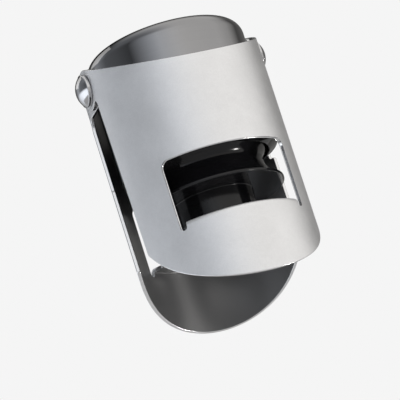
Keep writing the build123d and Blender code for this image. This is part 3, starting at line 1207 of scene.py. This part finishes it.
@dataclass
class SealAssembly:
    """The soft seal, with the steel washer that carries its plug."""

    plug_radius: float = 8.4
    plug_length: float = 6.0
    plug_lead: float = 0.8
    flange_radius: float = 14.95
    flange_rim: float = 0.5
    waist_radius: float = 12.0
    waist_height: float = 4.9
    collar_radius: float = 13.5
    collar_start: float = 7.4
    top: float = 9.4
    bore: float = 3.02
    washer_radius: float = 6.2
    washer_bore: float = 1.55
    washer_thickness: float = 0.9
    # Radii of the edges: bore, plug's lead and plug, flange, collar, and the washer's
    bore_round: float = 0.1
    lead_round: float = 0.25
    plug_round: float = 0.6
    flange_round: float = 0.15
    collar_round: float = 0.3
    washer_round: float = 0.1
    washer_low_round: float = 0.2
    # How finely the outlines are divided
    seal_step: float = 0.08
    washer_step: float = 0.05
    washer_around: int = 96
    side_parts: int = 25
    # Ends of the two curves of the side: how far each leaves or arrives along its way
    flange_leave: tuple[float, float] = (-5.2, 1.6)
    waist_arrive: tuple[float, float] = (0.0, 4.6)
    waist_leave: tuple[float, float] = (0.0, 3.4)
    collar_arrive: tuple[float, float] = (0.6, 2.2)

    def _side(self) -> Array:
        """Draw the side as two smooth curves that meet upright at the waist.

        Each is a cubic between two points with given end directions, of the form
        p0 (2t^3-3t^2+1) + d0 (t^3-2t^2+t) + p1 (-2t^3+3t^2) + d1 (t^3-t^2).

        Returns:
            Rows of radius and height from the flange up to the collar.
        """
        share = np.linspace(0.0, 1.0, self.side_parts + 1)[:, None]
        flange = (self.flange_radius, self.flange_rim)
        waist = (self.waist_radius, self.waist_height)
        collar = (self.collar_radius, self.collar_start)
        rows = [
            np.array(start) * (2 * share**3 - 3 * share**2 + 1)
            + np.array(leave) * (share**3 - 2 * share**2 + share)
            + np.array(end) * (3 * share**2 - 2 * share**3)
            + np.array(arrive) * (share**3 - share**2)
            for start, leave, end, arrive in (
                (flange, self.flange_leave, waist, self.waist_arrive),
                (waist, self.waist_leave, collar, self.collar_arrive),
            )
        ]
        return np.vstack([rows[0], rows[1][1:]])

    def _seal(self) -> Skin:
        """Turn the seal: plug, flange, waist and collar, round its bore."""
        low = [
            (self.bore, -self.plug_length, self.bore_round),
            (self.plug_radius - self.plug_lead, -self.plug_length, self.lead_round),
            (self.plug_radius, self.plug_lead - self.plug_length, self.plug_round),
            (self.plug_radius, 0.0, self.flange_round),
            (self.flange_radius, 0.0, self.flange_round),
            (self.flange_radius, self.flange_rim, 0.0),
        ]
        high = [
            (self.collar_radius, self.collar_start, 0.0),
            (self.collar_radius, self.top, self.collar_round),
            (self.bore, self.top, self.bore_round),
            (self.bore, -self.plug_length, 0.0),
        ]
        low_rim, high_rim = (softened(corners, self.seal_step) for corners in (low, high))
        return turned(np.vstack([low_rim[1:-1], self._side(), high_rim[1:]]), True)

    def _washer(self) -> Skin:
        """Turn the washer below the plug."""
        low, high = -self.plug_length - self.washer_thickness, -self.plug_length
        corners = [
            (self.washer_bore, low, self.washer_round),
            (self.washer_radius, low, self.washer_low_round),
            (self.washer_radius, high, self.washer_round),
            (self.washer_bore, high, self.washer_round),
        ]
        rim = softened(corners, self.washer_step, True)
        return turned(rim, True, self.washer_around)

    def dress(self) -> None:
        """Put the seal and its washer into the scene."""
        self._seal().to_piece("seal_body", SEAL_BLACK.make(), "seal_rubber", "core", "mouth_seal")
        steel = WASHER_STEEL.make()
        self._washer().to_piece("plug_washer", steel, "fastener_steel", "core", "seal_washer")


@dataclass
class CarriedParts:
    """The plain inner parts, which keep their CAD meshes and get their finishes here."""

    finishes: Mapping[Metal | Moulded, Sequence[str]] = field(
        default_factory=lambda: {
            PLUNGER_BLACK: ["plunger"],
            WASHER_STEEL: ["seal_screw", "stem_clip", "spring_seat"],
            WIRE_STEEL: ["compression_spring"],
            NYLON: [
                "guide_bush",
                "inner_washer_right",
                "inner_washer_left",
                "middle_washer_right",
                "middle_washer_left",
            ],
        }
    )

    def dress(self, nodes: Mapping[str, bpy.types.Object]) -> None:
        """Give each CAD node its material.

        Args:
            nodes: the frame's nodes by name.
        """
        for finish, names in self.finishes.items():
            material = finish.make()
            for name in names:
                nodes[name].data.materials.clear()
                nodes[name].data.materials.append(material)
                log.info("%s: finish %s", name, finish.name)


# Room, light and camera


def direction(azimuth: float, elevation: float) -> Vector:
    """Give the unit way out at angles in degrees, azimuth 0 to the front and 90 right."""
    turn, rise = math.radians(azimuth), math.radians(elevation)
    flat = math.cos(rise)
    return Vector((math.sin(turn) * flat, -math.cos(turn) * flat, math.sin(rise)))


@dataclass(frozen=True)
class Lamp:
    """A soft rectangular light, with its sizes in metres, that faces a point."""

    name: str
    azimuth: float
    elevation: float
    distance: float
    width: float
    height: float
    level: float

    def hang(self, aim: Vector, colour: Colour) -> None:
        """Put the light at its azimuth and elevation round the aim.

        Args:
            aim: the point that it faces, in metres.
            colour: the colour of its light.
        """
        data = bpy.data.lights.new(self.name, "AREA")
        data.shape = "RECTANGLE"
        data.size, data.size_y = self.width, self.height
        data.energy = self.level * math.pi * self.width * self.height
        data.color = colour
        lamp = bpy.data.objects.new(self.name, data)
        way = direction(self.azimuth, self.elevation)
        lamp.location = aim + way * self.distance
        lamp.rotation_mode = "QUATERNION"
        lamp.rotation_quaternion = (-way).to_track_quat("-Z", "Y")
        bpy.context.scene.collection.objects.link(lamp)
        log.info("%s at azimuth %.0f, elevation %.0f", self.name, self.azimuth, self.elevation)


REAR_PANEL = Lamp(
    "rear_panel",
    azimuth=-145.0,
    elevation=40.0,
    distance=0.6,
    width=0.3,
    height=0.3,
    level=0.8,
)
LOW_SPOT = Lamp(
    "low_spot",
    azimuth=60.0,
    elevation=-30.0,
    distance=0.5,
    width=0.07,
    height=0.05,
    level=70.0,
)


@dataclass
class Studio:
    """The pale floor, the surroundings, the lamps and the camera."""

    # Floor: height and size in metres, two tones in soft patches, and the glow that the
    # camera sees
    floor_height: float = -0.6
    floor_size: float = 3.0
    floor_tones: tuple[Colour, Colour] = ((0.86, 0.86, 0.87), (0.9, 0.9, 0.9))
    floor_mottle: float = 3.0
    mottle_span: tuple[float, float] = (0.2, 0.8)
    floor_roughness: float = 0.8
    floor_glow: float = 0.36
    # Camera: its place round the aim, its lens, and the shifts that frame the stopper
    aim: tuple[float, float, float] = (0.0, 0.0, 6.0)
    azimuth: float = -20.166
    elevation: float = -16.151
    roll: float = -17.774
    distance: float = 800.0
    focal_pixels: float = 4077.8
    picture_width: float = 400.0
    shift_right: float = 0.55
    shift_up: float = 5.299
    sensor: float = 36.0
    clip: tuple[float, float] = (0.01, 20.0)
    # Surroundings: the level that the camera sees, and the levels of the room, sixteen
    # at equal turns in each ring, from the back by the left and the front
    pale: float = 0.913
    upper_ring: tuple[float, ...] = (
        *(0.03, 0.25, 0.6, 0.25, 0.2, 0.12, 0.6, 1.12),
        *(1.22, 1.14, 1.1, 1.08, 0.8, 0.15, 0.18, 0.1),
    )
    lower_ring: tuple[float, ...] = (
        *(0.3, 0.8, 1.5, 1.9, 2.0, 1.8, 0.9, 0.6),
        *(0.7, 0.7, 0.8, 1.0, 0.8, 0.4, 0.3, 0.3),
    )
    overhead_left: float = 0.3
    overhead_right: float = 1.1
    cool: Colour = (0.93, 0.97, 1.03)
    warm: Colour = (1.02, 1.0, 0.97)
    # Where one level turns into the next, as parts of a unit way up, right or back
    upper_rise: tuple[float, float] = (0.0, 0.2)
    overhead_rise: tuple[float, float] = (0.5, 0.8)
    overhead_side: tuple[float, float] = (-0.6, 0.2)
    overhead_back: tuple[float, float] = (0.1, 0.7)
    warm_side: tuple[float, float] = (-0.7, 0.3)

    def _world(self) -> None:
        """Make the surroundings.

        The camera and clear pieces see an even pale grey. Everything else sees a room
        whose level depends on the turn round the stopper and on the height: one ring of
        levels above the horizon, one below it, and a level overhead, which is lower at
        the left and dark at the back. The light of the left half is a little cooler than
        that of the right half.
        """
        world = bpy.data.worlds.new("studio_room")
        bpy.context.scene.world = world
        world.use_nodes = True
        graph = Graph(world.node_tree)
        east, north, up = graph.axes(graph.add("ShaderNodeTexCoord", output="Generated"))
        # 0.5 is the front, and larger is to the right of it
        terms = {0: east, 1: north * -1.0}
        angle = graph.add("ShaderNodeMath", {"operation": "ARCTAN2"}, terms)
        turn = angle / (2 * math.pi) + 0.5
        upper, lower = (
            graph.add("ShaderNodeValToRGB", {"stops": (*ring, ring[0])}, {"Fac": turn})
            for ring in (self.upper_ring, self.lower_ring)
        )
        above, high = up.between(*self.upper_rise), up.between(*self.overhead_rise)
        gain = self.overhead_right - self.overhead_left
        overhead = self.overhead_left + east.between(*self.overhead_side) * gain
        overhead = overhead * (1.0 - north.between(*self.overhead_back))
        level = lower * (1.0 - above) + upper * (above - high) + overhead * high
        tint = graph.blend(east.between(*self.warm_side), self.cool, self.warm)
        camera, through = (
            graph.add("ShaderNodeLightPath", output=f"Is {kind} Ray")
            for kind in ("Camera", "Transmission")
        )
        shown = camera.larger(through)
        inputs = {
            "Color": graph.blend(shown, tint, (1.0, 1.0, 1.0)),
            "Strength": level * (1.0 - shown) + self.pale * shown,
        }
        light = graph.add("ShaderNodeBackground", None, inputs)
        graph.add("ShaderNodeOutputWorld", None, {"Surface": light})

    def _floor(self) -> None:
        """Lay the pale floor, which the camera sees about as pale as the surroundings."""
        half = self.floor_size / 2
        corners = [(-half, -half), (half, -half), (half, half), (-half, half)]
        mesh = bpy.data.meshes.new("floor")
        mesh.from_pydata([(x, y, self.floor_height) for x, y in corners], [], [(0, 1, 2, 3)])
        material, graph = new_material("floor_pale")
        tone = graph.noise(graph.place(), self.floor_mottle).between(*self.mottle_span)
        camera = graph.add("ShaderNodeLightPath", output="Is Camera Ray")
        glow = (self.floor_glow,) * 3
        graph.surface(
            {
                "Base Color": graph.blend(tone, *self.floor_tones),
                "Roughness": self.floor_roughness,
                "Emission Color": graph.blend(camera, (0.0, 0.0, 0.0), glow),
                "Emission Strength": 1.0,
            }
        )
        mesh.materials.append(material)
        floor = bpy.data.objects.new("floor", mesh)
        bpy.context.scene.collection.objects.link(floor)

    def _camera(self) -> None:
        """Set the camera: long lens, seen from a little below and rolled to the right."""
        turn, roll = math.radians(self.azimuth), math.radians(self.roll)
        back = direction(self.azimuth, self.elevation)
        level = Vector((math.cos(turn), math.sin(turn), 0.0))
        upright = back.cross(level)
        right = math.cos(roll) * level + math.sin(roll) * upright
        up = -math.sin(roll) * level + math.cos(roll) * upright
        data = bpy.data.cameras.new("camera")
        data.sensor_width = self.sensor
        data.lens = self.focal_pixels * self.sensor / self.picture_width
        data.clip_start, data.clip_end = self.clip
        camera = bpy.data.objects.new("camera", data)
        place = Vector(self.aim) + back * self.distance
        place -= self.shift_right * right + self.shift_up * up
        camera.location = place * MILLIMETRE
        camera.rotation_mode = "QUATERNION"
        camera.rotation_quaternion = Matrix((right, up, back)).transposed().to_quaternion()
        bpy.context.scene.collection.objects.link(camera)
        bpy.context.scene.camera = camera

    def set_up(self) -> None:
        """Make the room, hang the lamps and set the camera."""
        self._world()
        self._floor()
        self._camera()
        for lamp in (REAR_PANEL, LOW_SPOT):
            lamp.hang(Vector(self.aim) * MILLIMETRE, self.warm)
        bpy.context.scene.view_settings.view_transform = "Standard"


def main() -> None:
    """Build the stopper round its CAD frame, then the room."""
    logging.basicConfig(level=logging.INFO, format="%(name)s: %(message)s")
    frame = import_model()
    wing_steel = WING_STEEL.make()
    for wing in WINGS:
        wing.dress(wing_steel)
    CapAssembly().dress()
    SealAssembly().dress()
    CarriedParts().dress(frame["nodes"])
    Studio().set_up()


if __name__ == "__main__":
    main()
